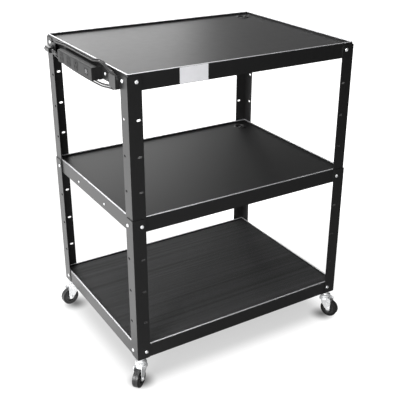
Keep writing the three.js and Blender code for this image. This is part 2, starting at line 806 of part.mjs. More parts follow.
function cordRoute() {
  const pocketStart = seat + bracketGauge;
  const layerA = pocketStart + (bracketPocket - cordLayerPitch) / 2;
  const layerB = layerA + cordLayerPitch;
  const maxRadius = cordInnerRadius + cordPitch * windingGrowth(cordTurns / 2);
  const pocketEnd = bracketSpan / 2 - bracketGauge - seat;
  const halfRun = pocketEnd - cordDiameter / 2 - (maxRadius - bracketPinch);
  const perTurn = 2 * (arcSteps + straightSteps);
  const total = perTurn * cordTurns;
  const points = [];

  const reliefEnd = stripLength / 2 + reliefLength + 2 * seat;
  points.push([leadInStandOff, reliefEnd, 0]);
  const leadStart = reliefEnd + cordDiameter;
  const leadInDrop = -(cordInnerRadius - bracketPinch);
  for (let i = 0; i < leadSteps; i += 1) {
    const t = i / leadSteps;
    const y = leadStart + t * (halfRun - leadStart);
    points.push([leadInStandOff + (layerA - leadInStandOff) * smooth(t), y, leadInDrop * ease(t)]);
  }
  for (let step = 0; step < total; step += 1) {
    const turn = step / perTurn;
    const radius = cordInnerRadius + cordPitch * windingGrowth(turn);
    const share = (turn / cordTurns - climbStartShare) / (climbEndShare - climbStartShare);
    const climb = smooth(Math.min(1, Math.max(0, share)));
    const [y, z] = turnPoint(step, radius, halfRun);
    const lastRun = total - step < straightSteps;
    if (lastRun && y > plugLeadStart()) break;
    points.push([layerA + climb * (layerB - layerA), y, z]);
  }
  const leadOutStart = plugLeadStart();
  const leadOutEnd = plugBack() - seat;
  const leadOutRise = -bottomRun(leadOutStart, cordInnerRadius, halfRun);
  for (let i = 0; i <= leadSteps; i += 1) {
    const t = i / leadSteps;
    const y = leadOutStart + t * (leadOutEnd - cordDiameter - leadOutStart);
    points.push([layerB + (plugStandOff - layerB) * ease(t), y, leadOutRise * (ease(t) - 1)]);
  }
  points.push([plugStandOff, leadOutEnd, 0]);
  return points.map(([standOff, y, z]) => new THREE.Vector3(-standOff, y, z));
}

function plugLeadStart() {
  return plugBack() - leadOutLength;
}

function plugBack() {
  return bracketSpan / 2 - bracketArmLength + plugBehindBracket;
}

// A tube of six flats along the points, capped square at both ends
function tube(points, diameter, sides) {
  const positions = [];
  const indices = [];
  const radius = diameter / 2;
  points.forEach((point, i) => {
    const before = points[Math.max(0, i - 1)];
    const after = points[Math.min(points.length - 1, i + 1)];
    const tangent = after.clone().sub(before).normalize();
    if (i <= 1) tangent.copy(points[1]).sub(points[0]).normalize();
    if (i >= points.length - 2) tangent.copy(points.at(-1)).sub(points.at(-2)).normalize();
    const normal = new THREE.Vector3(1, 0, 0);
    normal.addScaledVector(tangent, -normal.dot(tangent)).normalize();
    const binormal = new THREE.Vector3().crossVectors(tangent, normal);
    for (let k = 0; k < sides; k += 1) {
      const angle = (2 * Math.PI * k) / sides;
      const corner = point.clone();
      corner.addScaledVector(normal, radius * Math.cos(angle));
      corner.addScaledVector(binormal, radius * Math.sin(angle));
      positions.push(corner.x, corner.y, corner.z);
    }
  });
  for (let i = 0; i + 1 < points.length; i += 1) {
    for (let k = 0; k < sides; k += 1) {
      const a = i * sides + k;
      const b = i * sides + ((k + 1) % sides);
      indices.push(a, b, a + sides, b, b + sides, a + sides);
    }
  }
  const last = (points.length - 1) * sides;
  for (let k = 1; k + 1 < sides; k += 1) {
    indices.push(0, k + 1, k);
    indices.push(last, last + k, last + k + 1);
  }
  const geometry = new THREE.BufferGeometry();
  geometry.setAttribute('position', new THREE.Float32BufferAttribute(positions, 3));
  geometry.setIndex(indices);
  return geometry;
}

// Length of the route and its least gap to itself, measured on points along the chords
function measureCord(points) {
  const samples = [];
  const finest = cordDiameter / 2;
  const skip = 6 * cordDiameter;
  let length = 0;
  for (let i = 0; i + 1 < points.length; i += 1) {
    const span = points[i].distanceTo(points[i + 1]);
    const count = Math.ceil(span / finest);
    for (let k = 0; k < count; k += 1) {
      samples.push({ at: length + (span * k) / count, point: points[i].clone().lerp(points[i + 1], k / count) });
    }
    length += span;
  }
  let least = Infinity;
  for (let i = 0; i < samples.length; i += 1) {
    for (let k = i + 1; k < samples.length; k += 1) {
      if (samples[k].at - samples[i].at < skip) continue;
      least = Math.min(least, samples[i].point.distanceTo(samples[k].point));
    }
  }
  return { length, gap: least - cordDiameter };
}

function addCord() {
  const route = cordRoute();
  const { length, gap } = measureCord(route);
  console.log(`power cord: ${length.toFixed(0)} mm long, least gap to itself ${gap.toFixed(2)} mm`);
  addMesh('power_cord', tube(route, cordDiameter, cordSides), paint.rubber, stripGroup);

  const relief = lathe([
    [0, 0],
    [reliefRootRadius, 0],
    [reliefTipRadius, reliefLength],
    [0, reliefLength],
  ], 12);
  relief.rotateX(-Math.PI / 2);
  relief.translate(-leadInStandOff, stripLength / 2 + seat, 0);
  addMesh('strain_relief', relief, paint.rubber, stripGroup);

  const body = orient(extrude(evenRectangle(plugWidth, plugHeight, plugCornerRadius), plugLength, 3),
    [-1, 0, 0], [0, 0, 1], [-plugStandOff, plugBack() + plugReliefLength, 0]);
  const neck = lathe([
    [0, 0],
    [reliefTipRadius, 0],
    [reliefRootRadius, plugReliefLength + seat],
    [0, plugReliefLength + seat],
  ], 12);
  neck.rotateX(-Math.PI / 2);
  neck.translate(-plugStandOff, plugBack(), 0);
  const bladeStart = plugBack() + plugReliefLength + plugLength - seat;
  const blades = [-1, 1].map((side) => {
    const blade = new THREE.BoxGeometry(plugBladeGauge, plugBladeLength, plugBladeHeight);
    blade.translate(-plugStandOff + (side * plugBladeSpacing) / 2, bladeStart + plugBladeLength / 2, -plugPinRise / 2);
    return blade;
  });
  const pin = rod(plugPinRadius, plugBladeLength, 8);
  pin.translate(-plugStandOff, bladeStart + plugBladeLength / 2, plugPinRise);
  addMesh('plug', join([body, neck, ...blades, pin]), paint.rubber, stripGroup);
}

function addOutletStrip() {
  stripGroup.position.set(toLeftFlange, -cartDepth / 2 + stripCentreFromFront, topRim - stripCentreBelowRim);
  cart.add(stripGroup);
  addStrip();
  addMesh('cord_bracket_front', cordBracket(-1), paint.black, stripGroup);
  addMesh('cord_bracket_back', cordBracket(1), paint.black, stripGroup);
  addCord();
}

addLegs();
addShelves();
addMat();
addCasters();
addOutletStrip();

// The origin goes under the middle of the whole cart's box
const box = new THREE.Box3().setFromObject(cart, true);
const middle = box.getCenter(new THREE.Vector3());
cart.position.set(-middle.x, -middle.y, -box.min.z);
cart.updateMatrixWorld(true);

export default cart;
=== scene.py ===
# Looks of the audio visual cart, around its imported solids. Metres, +Z up, front towards -Y.

import json
import math

import bmesh
import bpy
from mathutils import Matrix, Vector


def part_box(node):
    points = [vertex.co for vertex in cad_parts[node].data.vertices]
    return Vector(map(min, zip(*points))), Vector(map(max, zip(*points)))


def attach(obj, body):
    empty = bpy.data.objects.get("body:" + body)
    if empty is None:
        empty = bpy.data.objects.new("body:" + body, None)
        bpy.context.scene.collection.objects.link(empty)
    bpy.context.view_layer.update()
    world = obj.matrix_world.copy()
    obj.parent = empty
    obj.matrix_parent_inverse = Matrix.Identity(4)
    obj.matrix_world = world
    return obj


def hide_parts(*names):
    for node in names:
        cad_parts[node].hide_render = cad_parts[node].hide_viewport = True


MM = 0.001

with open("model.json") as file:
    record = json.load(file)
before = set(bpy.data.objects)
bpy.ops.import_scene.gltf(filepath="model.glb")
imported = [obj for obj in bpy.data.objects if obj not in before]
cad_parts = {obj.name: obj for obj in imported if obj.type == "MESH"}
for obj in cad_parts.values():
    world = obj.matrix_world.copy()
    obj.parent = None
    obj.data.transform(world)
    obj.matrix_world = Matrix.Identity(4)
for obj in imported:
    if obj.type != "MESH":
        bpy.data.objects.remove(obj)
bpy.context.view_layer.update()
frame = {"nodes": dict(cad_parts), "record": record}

CORNERS = {"front_left": (-1, -1), "front_right": (1, -1), "back_left": (-1, 1), "back_right": (1, 1)}


def low(node):
    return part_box(node)[0]


def high(node):
    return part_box(node)[1]


def middle(node):
    return (low(node) + high(node)) / 2


# Cart, as the solids give it
cart_low = low("lower_leg_front_left")
cart_high = high("lower_leg_back_right")
cart_middle = (cart_low + cart_high) / 2
leg_bottom = cart_low.z
seam_height = high("lower_leg_front_left").z
top_rim = high("top_shelf").z

# Camera, solved from the corners and holes of the photo
CAMERA_FROM_MIDDLE = Vector((-1219.753, -2034.438, 0)) * MM
CAMERA_ABOVE_LEGS = 1453.036 * MM
CAMERA_YAW = math.radians(32.573)
CAMERA_PITCH = math.radians(24.06)
CAMERA_ROLL = math.radians(0.62)
PHOTO_SIZE = 400
FOCAL_PIXELS = 727.856
PRINCIPAL_POINT = (216.954, 188.581)
SENSOR_WIDTH = 36
VIEW_DISTANCE = 100

# Cord: three turns in two layers, the formula of the solid in metres
CORD_DIAMETER = 5.2 * MM
CORD_TURNS = 3
CORD_PITCH = 6.0 * MM
CORD_LAYER_PITCH = 6.2 * MM
CORD_INNER_RADIUS = 22.2 * MM
BRACKET_PINCH = 6.4 * MM
LOWER_RUN_SAG = 6 * MM
FRONT_RISE = 10 * MM
FRONT_RISE_LENGTH = 140 * MM
BRACKET_SPAN = 489 * MM
BRACKET_GAUGE = 1.5 * MM
BRACKET_POCKET = 12.8 * MM
BRACKET_ARM_LENGTH = 42 * MM
SEAT = 0.3 * MM
STRIP_LENGTH = 260 * MM
RELIEF_LENGTH = 22 * MM
LEAD_IN_STAND_OFF = 8.5 * MM
LEAD_OUT_LENGTH = 62 * MM
PLUG_STAND_OFF = 28 * MM
PLUG_BEHIND_BRACKET = -15 * MM
ARC_STEPS = 32
STRAIGHT_STEPS = 48
LEAD_STEPS = 32
CLIMB_START_SHARE = 0.46
CLIMB_END_SHARE = 0.5

# Screws
SCREW_RADIUS = 5.6 * MM
SCREW_HEIGHT = 3.1 * MM
RECESS_REACH = 3.3 * MM
RECESS_WIDTH = 1.3 * MM
RECESS_DEPTH = 1.5 * MM
SHANK_RADIUS = 2.4 * MM
SHANK_LENGTH = 5.4 * MM
NUT_RADIUS = 5.4 * MM
NUT_HEIGHT = 3.6 * MM
NUT_EDGE = 0.3 * MM
HOLE_INSET = 31.5 * MM
BOTTOM_HOLE_ABOVE_LEG = 24 * MM
MIDDLE_HOLE_BELOW_SEAM = 24 * MM
TOP_HOLE_BELOW_RIM = 23 * MM
SHEET_GAUGE = 1.2 * MM
RIVET_RADIUS = 4.0 * MM


def set_camera():
    data = bpy.data.cameras.new("camera")
    data.sensor_width = SENSOR_WIDTH
    data.lens = FOCAL_PIXELS * SENSOR_WIDTH / PHOTO_SIZE
    half = PHOTO_SIZE / 2
    data.shift_x = (half - PRINCIPAL_POINT[0]) / PHOTO_SIZE
    data.shift_y = (PRINCIPAL_POINT[1] - half) / PHOTO_SIZE
    data.clip_end = VIEW_DISTANCE
    camera = bpy.data.objects.new("camera", data)
    bpy.context.scene.collection.objects.link(camera)
    flat = math.cos(CAMERA_PITCH)
    ahead = Vector((math.sin(CAMERA_YAW) * flat, math.cos(CAMERA_YAW) * flat, -math.sin(CAMERA_PITCH)))
    level = Vector((math.cos(CAMERA_YAW), -math.sin(CAMERA_YAW), 0))
    upright = level.cross(ahead)
    right = math.cos(CAMERA_ROLL) * level + math.sin(CAMERA_ROLL) * upright
    up = math.cos(CAMERA_ROLL) * upright - math.sin(CAMERA_ROLL) * level
    place = Vector((cart_middle.x, cart_middle.y, leg_bottom + CAMERA_ABOVE_LEGS)) + CAMERA_FROM_MIDDLE
    matrix = Matrix((right, up, -ahead)).transposed().to_4x4()
    matrix.translation = place
    camera.matrix_world = matrix
    bpy.context.scene.camera = camera


# Materials
COAT_GRAIN = 0.05 * MM
ZINC_GRAIN = 0.03 * MM
PLASTIC_GRAIN = 0.04 * MM
RUBBER_GRAIN = 0.08 * MM


def new_material(name, colour, roughness, metallic=0.0, specular=0.5):
    material = bpy.data.materials.new(name)
    material.use_nodes = True
    shader = material.node_tree.nodes["Principled BSDF"]
    shader.inputs["Base Color"].default_value = (*colour, 1)
    shader.inputs["Roughness"].default_value = roughness
    shader.inputs["Metallic"].default_value = metallic
    shader.inputs["Specular IOR Level"].default_value = specular
    return material


def noise(material, scale, detail=3, stretch=(1, 1, 1)):
    nodes, links = material.node_tree.nodes, material.node_tree.links
    place = nodes.new("ShaderNodeTexCoord")
    mapping = nodes.new("ShaderNodeMapping")
    mapping.inputs["Scale"].default_value = stretch
    texture = nodes.new("ShaderNodeTexNoise")
    texture.inputs["Scale"].default_value = scale
    texture.inputs["Detail"].default_value = detail
    links.new(place.outputs["Object"], mapping.inputs["Vector"])
    links.new(mapping.outputs["Vector"], texture.inputs["Vector"])
    return texture.outputs["Fac"]


def vary(material, factor, socket, start, end):
    nodes, links = material.node_tree.nodes, material.node_tree.links
    ramp = nodes.new("ShaderNodeMapRange")
    ramp.inputs["To Min"].default_value = start
    ramp.inputs["To Max"].default_value = end
    links.new(factor, ramp.inputs["Value"])
    links.new(ramp.outputs["Result"], nodes["Principled BSDF"].inputs[socket])


def tint(material, factor, start, end):
    nodes, links = material.node_tree.nodes, material.node_tree.links
    mix = nodes.new("ShaderNodeMix")
    mix.data_type = "RGBA"
    mix.inputs["A"].default_value = (*start, 1)
    mix.inputs["B"].default_value = (*end, 1)
    links.new(factor, mix.inputs["Factor"])
    links.new(mix.outputs["Result"], nodes["Principled BSDF"].inputs["Base Color"])


def bump(material, factor, strength, distance):
    nodes, links = material.node_tree.nodes, material.node_tree.links
    node = nodes.new("ShaderNodeBump")
    node.inputs["Strength"].default_value = strength
    node.inputs["Distance"].default_value = distance
    links.new(factor, node.inputs["Height"])
    links.new(node.outputs["Normal"], nodes["Principled BSDF"].inputs["Normal"])


def grey(level):
    return (level, level, level * 1.03)


def powder_coat(name="powder_coat"):
    material = new_material(name, grey(0.006), 0.41, specular=0.8)
    tint(material, noise(material, 3.5), grey(0.005), grey(0.008))
    vary(material, noise(material, 40), "Roughness", 0.39, 0.44)
    bump(material, noise(material, 1100, 2), 0.06, COAT_GRAIN)
    return material


def powder_coat_painted_shade():
    """The same coat with painted shade: rougher and less shiny on its upward faces, so the middle shelf's
    top reads darker where the top shelf shades it
    """
    material = powder_coat("powder_coat_painted_shade")
    nodes, links = material.node_tree.nodes, material.node_tree.links
    surface = nodes.new("ShaderNodeNewGeometry")
    split = nodes.new("ShaderNodeSeparateXYZ")
    links.new(surface.outputs["Normal"], split.inputs["Vector"])
    # Painted shade: upward faces rougher and less shiny
    vary(material, split.outputs["Z"], "Roughness", 0.41, 0.5)
    vary(material, split.outputs["Z"], "Specular IOR Level", 0.8, 0.4)
    return material


# Pale semi-metal for the rims of the black shelves: a painted highlight of their edges
def rim_painted_highlight():
    material = new_material("rim_painted_highlight", grey(0.8), 0.3, metallic=0.5, specular=1)
    tint(material, noise(material, 12), grey(0.74), grey(0.88))
    vary(material, noise(material, 40), "Roughness", 0.26, 0.34)
    return material


def bright_zinc():
    material = new_material("bright_zinc", (0.9, 0.91, 0.92), 0.28, metallic=0.3)
    tint(material, noise(material, 60), (0.88, 0.89, 0.90), (0.93, 0.94, 0.95))
    vary(material, noise(material, 60), "Roughness", 0.24, 0.32)
    bump(material, noise(material, 500, 2), 0.02, ZINC_GRAIN)
    return material


def moulded_plastic(name, level, roughness):
    material = new_material(name, grey(level), roughness)
    tint(material, noise(material, 25), grey(level * 0.85), grey(min(level * 1.15, 0.95)))
    vary(material, noise(material, 90), "Roughness", roughness - 0.06, roughness + 0.06)
    bump(material, noise(material, 1600, 2), 0.15, PLASTIC_GRAIN)
    return material


def ribbed_rubber():
    material = new_material("mat_rubber", grey(0.03), 0.5)
    tint(material, noise(material, 1, 6, (0.9, 75, 1)), grey(0.0), grey(0.075))
    vary(material, noise(material, 1, 4, (0.6, 110, 1)), "Roughness", 0.3, 0.7)
    bump(material, noise(material, 900, 4), 0.25, RUBBER_GRAIN)
    return material


def rubber(name, level, roughness):
    material = new_material(name, grey(level), roughness, specular=0.35)
    tint(material, noise(material, 30, 5), grey(level * 0.8), grey(level * 1.25))
    vary(material, noise(material, 120), "Roughness", roughness - 0.08, roughness + 0.08)
    bump(material, noise(material, 900, 4), 0.25, RUBBER_GRAIN)
    return material


looks = {
    "powder_coat": powder_coat(),
    "powder_coat_painted_shade": powder_coat_painted_shade(),
    "rim_painted_highlight": rim_painted_highlight(),
    "zinc_plate": bright_zinc(),
    "hub_plastic": moulded_plastic("hub_plastic", 0.02, 0.5),
    "tyre_rubber": rubber("tyre_rubber", 0.005, 0.62),
    "tread_painted_highlight": moulded_plastic("tread_painted_highlight", 0.035, 0.32),
    "grommet_plastic": moulded_plastic("grommet_plastic", 0.012, 0.35),
    "mat_rubber": ribbed_rubber(),
    "strip_shell": moulded_plastic("strip_shell", 0.006, 0.45),
    "strip_face": moulded_plastic("strip_face", 0.007, 0.5),
    "outlet_plastic": moulded_plastic("outlet_plastic", 0.003, 0.6),
    "port_plastic": moulded_plastic("port_plastic", 0.5, 0.45),
    "cord_jacket": moulded_plastic("cord_jacket", 0.012, 0.18),
    "label_white": moulded_plastic("label_white", 0.94, 0.4),
}


# Meshes
def new_object(name, mesh_or_curve, look, body="frame"):
    obj = bpy.data.objects.new(name, mesh_or_curve)
    bpy.context.scene.collection.objects.link(obj)
    mesh_or_curve.materials.append(looks[look])
    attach(obj, body)
    return obj


def from_bmesh(name, bm, look, body="frame", smooth_angle=35):
    bmesh.ops.recalc_face_normals(bm, faces=bm.faces)
    mesh = bpy.data.meshes.new(name)
    bm.to_mesh(mesh)
    bm.free()
    mesh.polygons.foreach_set("use_smooth", [True] * len(mesh.polygons))
    mesh.set_sharp_from_angle(angle=math.radians(smooth_angle))
    return new_object(name, mesh, look, body)


def lathe(bm, profile, matrix, segments=64):
    """Turns [radius, height] points round the local Z axis, closed at the axis or onto itself"""
    rings = []
    for radius, height in profile:
        if radius == 0:
            rings.append([bm.verts.new(matrix @ Vector((0, 0, height)))])
            continue
        ring = []
        for i in range(segments):
            angle = 2 * math.pi * i / segments
            point = Vector((radius * math.cos(angle), radius * math.sin(angle), height))
            ring.append(bm.verts.new(matrix @ point))
        rings.append(ring)
    if profile[0] == profile[-1] and profile[0][0] > 0:
        bmesh.ops.delete(bm, geom=rings.pop(), context="VERTS")
        rings.append(rings[0])
    for a, b in zip(rings, rings[1:]):
        for i in range(segments):
            j = (i + 1) % segments
            if len(a) == 1 and len(b) == 1:
                continue
            if len(a) == 1:
                bm.faces.new((a[0], b[i], b[j]))
            elif len(b) == 1:
                bm.faces.new((a[i], b[0], a[j]))
            else:
                bm.faces.new((a[i], b[i], b[j], a[j]))


def prism(bm, outline, thickness, matrix):
    """A plate with its outline in the local XY plane, from z = 0 to its thickness"""
    lower = [bm.verts.new(matrix @ Vector((x, y, 0))) for x, y in outline]
    upper = [bm.verts.new(matrix @ Vector((x, y, thickness))) for x, y in outline]
    bm.faces.new(lower[::-1])
    bm.faces.new(upper)
    count = len(outline)
    for i in range(count):
        j = (i + 1) % count
        bm.faces.new((lower[i], lower[j], upper[j], upper[i]))


def round_corner(profile_point, before, after, radius, steps=4):
    """Points of a fillet at a corner of an outline or profile"""
    corner = Vector(profile_point)
    a = (Vector(before) - corner).normalized()
    b = (Vector(after) - corner).normalized()
    half = a.angle(b) / 2
    reach = radius / math.tan(half)
    start, end = corner + a * reach, corner + b * reach
    centre = corner + (a + b).normalized() * (radius / math.sin(half))
    sweep = math.pi - 2 * half
    points = []
    for i in range(steps + 1):
        share = i / steps
        angle = sweep * share
        weight_a = math.sin(sweep - angle) / math.sin(sweep)
        weight_b = math.sin(angle) / math.sin(sweep)
        points.append(tuple(centre + (start - centre) * weight_a + (end - centre) * weight_b))
    return points


def rounded(points, radii, closed=True):
    """An outline with its corners rounded, each by its own radius, 0 for none"""
    out = []
    count = len(points)
    for i, point in enumerate(points):
        if radii[i] == 0 or (not closed and i in (0, count - 1)):
            out.append(tuple(point))
            continue
        out += round_corner(point, points[i - 1], points[(i + 1) % count], radii[i])
    return out


def facing(origin, normal, up=(0, 0, 1)):
    """Local Z along the normal, local Y as near to up as it goes"""
    z = Vector(normal).normalized()
    x = Vector(up).cross(z).normalized()
    matrix = Matrix((x, z.cross(x), z)).transposed().to_4x4()
    matrix.translation = Vector(origin)
    return matrix


def bevel(obj, width, segments=2, angle=30):
    modifier = obj.modifiers.new("edge", "BEVEL")
    modifier.width = width
    modifier.segments = segments
    modifier.limit_method = "ANGLE"
    modifier.angle_limit = math.radians(angle)
    modifier.harden_normals = True
    return obj


# Cord
def smooth(t):
    return t * t * (3 - 2 * t)


def ease(t):
    return (1 - math.cos(math.pi * t)) / 2


def clamp(t):
    return min(1, max(0, t))


def drawn_in(y, half_run):
    return BRACKET_PINCH * smooth(clamp((abs(y) - STRIP_LENGTH / 2) / (half_run - STRIP_LENGTH / 2)))


def top_run(y, radius, half_run):
    share = min(1, (y + half_run) / FRONT_RISE_LENGTH)
    return radius - drawn_in(y, half_run) + FRONT_RISE * math.sin(math.pi * share) ** 2


def bottom_run(y, radius, half_run):
    return drawn_in(y, half_run) - radius - LOWER_RUN_SAG * (1 - (y / half_run) ** 2)


def turn_point(step, radius, half_run):
    per_turn = 2 * (ARC_STEPS + STRAIGHT_STEPS)
    bend = radius - BRACKET_PINCH
    s = step % per_turn
    if s <= ARC_STEPS:
        angle = -math.pi / 2 + s / ARC_STEPS * math.pi
        return half_run + bend * math.cos(angle), bend * math.sin(angle)
    if s <= ARC_STEPS + STRAIGHT_STEPS:
        y = half_run - (s - ARC_STEPS) / STRAIGHT_STEPS * 2 * half_run
        return y, top_run(y, radius, half_run)
    if s <= 2 * ARC_STEPS + STRAIGHT_STEPS:
        angle = math.pi / 2 + (s - ARC_STEPS - STRAIGHT_STEPS) / ARC_STEPS * math.pi
        return -half_run + bend * math.cos(angle), bend * math.sin(angle)
    y = -half_run + (s - 2 * ARC_STEPS - STRAIGHT_STEPS) / STRAIGHT_STEPS * 2 * half_run
    return y, bottom_run(y, radius, half_run)


def winding_growth(turn):
    t = min(turn, CORD_TURNS - turn)
    end_of_first_run = 0.5
    start_of_last_run = 1 + ARC_STEPS / (2 * (ARC_STEPS + STRAIGHT_STEPS))
    if t <= end_of_first_run:
        return t
    return end_of_first_run + min(1, (t - end_of_first_run) / (start_of_last_run - end_of_first_run))


def cord_route():
    """Points as [stand-off from the flange, along the strip, above its middle]"""
    layer_a = SEAT + BRACKET_GAUGE + (BRACKET_POCKET - CORD_LAYER_PITCH) / 2
    layer_b = layer_a + CORD_LAYER_PITCH
    most = CORD_INNER_RADIUS + CORD_PITCH * winding_growth(CORD_TURNS / 2)
    pocket_end = BRACKET_SPAN / 2 - BRACKET_GAUGE - SEAT
    half_run = pocket_end - CORD_DIAMETER / 2 - (most - BRACKET_PINCH)
    per_turn = 2 * (ARC_STEPS + STRAIGHT_STEPS)
    total = per_turn * CORD_TURNS
    plug_back = BRACKET_SPAN / 2 - BRACKET_ARM_LENGTH + PLUG_BEHIND_BRACKET
    lead_out_start = plug_back - LEAD_OUT_LENGTH
    relief_end = STRIP_LENGTH / 2 + RELIEF_LENGTH + 2 * SEAT
    points = [(LEAD_IN_STAND_OFF, relief_end, 0)]
    lead_start = relief_end + CORD_DIAMETER
    lead_in_drop = -(CORD_INNER_RADIUS - BRACKET_PINCH)
    for i in range(LEAD_STEPS):
        t = i / LEAD_STEPS
        stand_off = LEAD_IN_STAND_OFF + (layer_a - LEAD_IN_STAND_OFF) * smooth(t)
        points.append((stand_off, lead_start + t * (half_run - lead_start), lead_in_drop * ease(t)))
    for step in range(total):
        turn = step / per_turn
        radius = CORD_INNER_RADIUS + CORD_PITCH * winding_growth(turn)
        share = (turn / CORD_TURNS - CLIMB_START_SHARE) / (CLIMB_END_SHARE - CLIMB_START_SHARE)
        y, z = turn_point(step, radius, half_run)
        if total - step < STRAIGHT_STEPS and y > lead_out_start:
            break
        points.append((layer_a + smooth(clamp(share)) * (layer_b - layer_a), y, z))
    lead_out_end = plug_back - SEAT
    rise = -bottom_run(lead_out_start, CORD_INNER_RADIUS, half_run)
    for i in range(LEAD_STEPS + 1):
        t = i / LEAD_STEPS
        y = lead_out_start + t * (lead_out_end - CORD_DIAMETER - lead_out_start)
        points.append((layer_b + (PLUG_STAND_OFF - layer_b) * ease(t), y, rise * (ease(t) - 1)))
    points.append((PLUG_STAND_OFF, lead_out_end, 0))
    return points


def in_strip_frame(stand_off, y, z):
    cover = middle("strip_cover")
    return Vector((low("top_shelf").x - stand_off, cover.y + y, cover.z + z))


def add_cord(pieces_on_it):
    points = [in_strip_frame(*point) for point in cord_route()]
    curve = bpy.data.curves.new("power_cord_wound", "CURVE")
    curve.dimensions = "3D"
    curve.bevel_depth = CORD_DIAMETER / 2
    curve.bevel_resolution = 4
    curve.use_fill_caps = True
    spline = curve.splines.new("POLY")
    spline.points.add(len(points) - 1)
    for slot, point in zip(spline.points, points):
        slot.co = (*point, 1)
    spline.use_smooth = True
    cord = new_object("power_cord_wound", curve, "cord_jacket")
    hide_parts("power_cord")


# Screws, nuts and rivets
def screw_head(bm, matrix, radius=SCREW_RADIUS, height=SCREW_HEIGHT, recess=True):
    """A pan head with a cross recess, and its side standing on the sheet"""
    segments = 32
    profile_share = [(1, 0), (1, 0.35), (0.94, 0.62), (0.8, 0.84), (0.62, 0.95), (0.5, 0.98), (0.4, 0.99),
                     (0.3, 1), (0.2, 1), (0.1, 1)]
    rings = []
    for share, rise in profile_share:
        ring = []
        for i in range(segments):
            angle = 2 * math.pi * i / segments
            x, y = radius * share * math.cos(angle), radius * share * math.sin(angle)
            z = height * rise
            thin, long = sorted((abs(x), abs(y)))
            if recess and thin < RECESS_WIDTH / 2 and long < RECESS_REACH:
                z -= RECESS_DEPTH * (1 - long / RECESS_REACH)
            ring.append(bm.verts.new(matrix @ Vector((x, y, z))))
        rings.append(ring)
    for a, b in zip(rings, rings[1:]):
        for i in range(segments):
            j = (i + 1) % segments
            bm.faces.new((a[i], a[j], b[j], b[i]))
    bm.faces.new(rings[-1])
    bm.faces.new(rings[0][::-1])


def hexagon(radius):
    return [(radius * math.cos(i * math.pi / 3), radius * math.sin(i * math.pi / 3)) for i in range(6)]


def flange_sites(height, outer_node, inner_node):
    """Place and outward normal of each screw of one shelf, with its nut's place on the flange inside"""
    for corner, (side_x, side_y) in CORNERS.items():
        node = f"{outer_node}_{corner}"
        face_x = high(node).x if side_x > 0 else low(node).x
        face_y = high(node).y if side_y > 0 else low(node).y
        back_x = (high(inner_node).x if side_x > 0 else low(inner_node).x) - side_x * SHEET_GAUGE
        back_y = (high(inner_node).y if side_y > 0 else low(inner_node).y) - side_y * SHEET_GAUGE
        hole_x = cart_middle.x + side_x * (cart_high.x - cart_middle.x - HOLE_INSET)
        hole_y = cart_middle.y + side_y * (cart_high.y - cart_middle.y - HOLE_INSET)
        yield Vector((hole_x, face_y, height)), Vector((0, side_y, 0)), Vector((hole_x, back_y, height))
        yield Vector((face_x, hole_y, height)), Vector((side_x, 0, 0)), Vector((back_x, hole_y, height))


def add_shelf_screws():
    levels = {
        "top": (top_rim - TOP_HOLE_BELOW_RIM, "upper_leg", "top_shelf"),
        "middle": (seam_height - MIDDLE_HOLE_BELOW_SEAM, "lower_leg", "middle_shelf"),
        "bottom": (leg_bottom + BOTTOM_HOLE_ABOVE_LEG, "lower_leg", "bottom_shelf"),
    }
    for level, (height, outer_node, shelf) in levels.items():
        heads, nuts = bmesh.new(), bmesh.new()
        for place, normal, back in flange_sites(height, outer_node, shelf):
            screw_head(heads, facing(place, normal))
            nut_matrix = facing(back, -normal)
            prism(nuts, hexagon(NUT_RADIUS), NUT_HEIGHT, nut_matrix)
            shank = [(0, 0), (SHANK_RADIUS, 0), (SHANK_RADIUS, SHANK_LENGTH), (0, SHANK_LENGTH)]
            lathe(nuts, shank, nut_matrix, 16)
        from_bmesh(f"{level}_shelf_screws", heads, "zinc_plate")
        bevel(from_bmesh(f"{level}_shelf_nuts", nuts, "zinc_plate"), NUT_EDGE)


# Casters, in the frame of one caster: x along the trail, z up from the floor, stem at the middle
WHEEL_RADIUS = 31.75 * MM
TYRE_HALF = 10.5 * MM
HUB_RADIUS = 22 * MM
HUB_HALF = 9.5 * MM
HUB_WEB = 5.5 * MM
HUB_WEB_RADIUS = 18 * MM
HUB_BOSS_RADIUS = 8 * MM
HUB_BOSS_HALF = 12.2 * MM
HUB_BORE = 4.3 * MM
HUB_ROUNDING = 0.9 * MM
TYRE_ROUNDING = 2.2 * MM
TREAD_GROOVE = 0.5 * MM
TREAD_RISE = 0.08 * MM
TREAD_EDGE_SHARE = 0.1
TREAD_FOOT_SHARE = 0.05
CASTER_INSET = 20 * MM
CASTER_TRAIL = 20 * MM
CROWN_RADIUS = 21 * MM
CROWN_BOTTOM = 65 * MM
CROWN_HEIGHT = 13 * MM
CROWN_TOP_RADIUS = 15 * MM
FORK_GAUGE = 2 * MM
FORK_INNER = 12.5 * MM
ARM_RADIUS = 8.5 * MM
ARM_TOP_WIDTH = 33 * MM
ARM_SHOULDER = 4 * MM
ARM_BACK_SHARE = 0.4
ARM_SKIRT = 22 * MM
ARM_TOP_DROP = 2 * MM
BOLT_RADIUS = 4 * MM
BOLT_HEAD_RADIUS = 6.2 * MM
BOLT_HEAD_LENGTH = 3.6 * MM
KINGPIN_RADIUS = 4 * MM
KINGPIN_HEAD_RADIUS = 7 * MM
KINGPIN_HEAD_HEIGHT = 2.5 * MM
RACE_RADIUS = 19.5 * MM
RACE_NECK_RADIUS = 11 * MM
STEM_RADIUS = 5 * MM
STEM_ABOVE_GUSSET = 15 * MM
GUSSET_THICKNESS = 3 * MM
STEM_NUT_RADIUS = 9 * MM
STEM_NUT_HEIGHT = 8 * MM
CASTER_EDGE = 0.35 * MM
SWIVEL_REST_DEGREES = {"front_left": -142, "front_right": -66, "back_left": 187, "back_right": 33}


def mirrored_profile(side):
    """A closed wheel profile from the half above its middle"""
    return side + [(r, -z) for r, z in reversed(side)] + [side[0]]


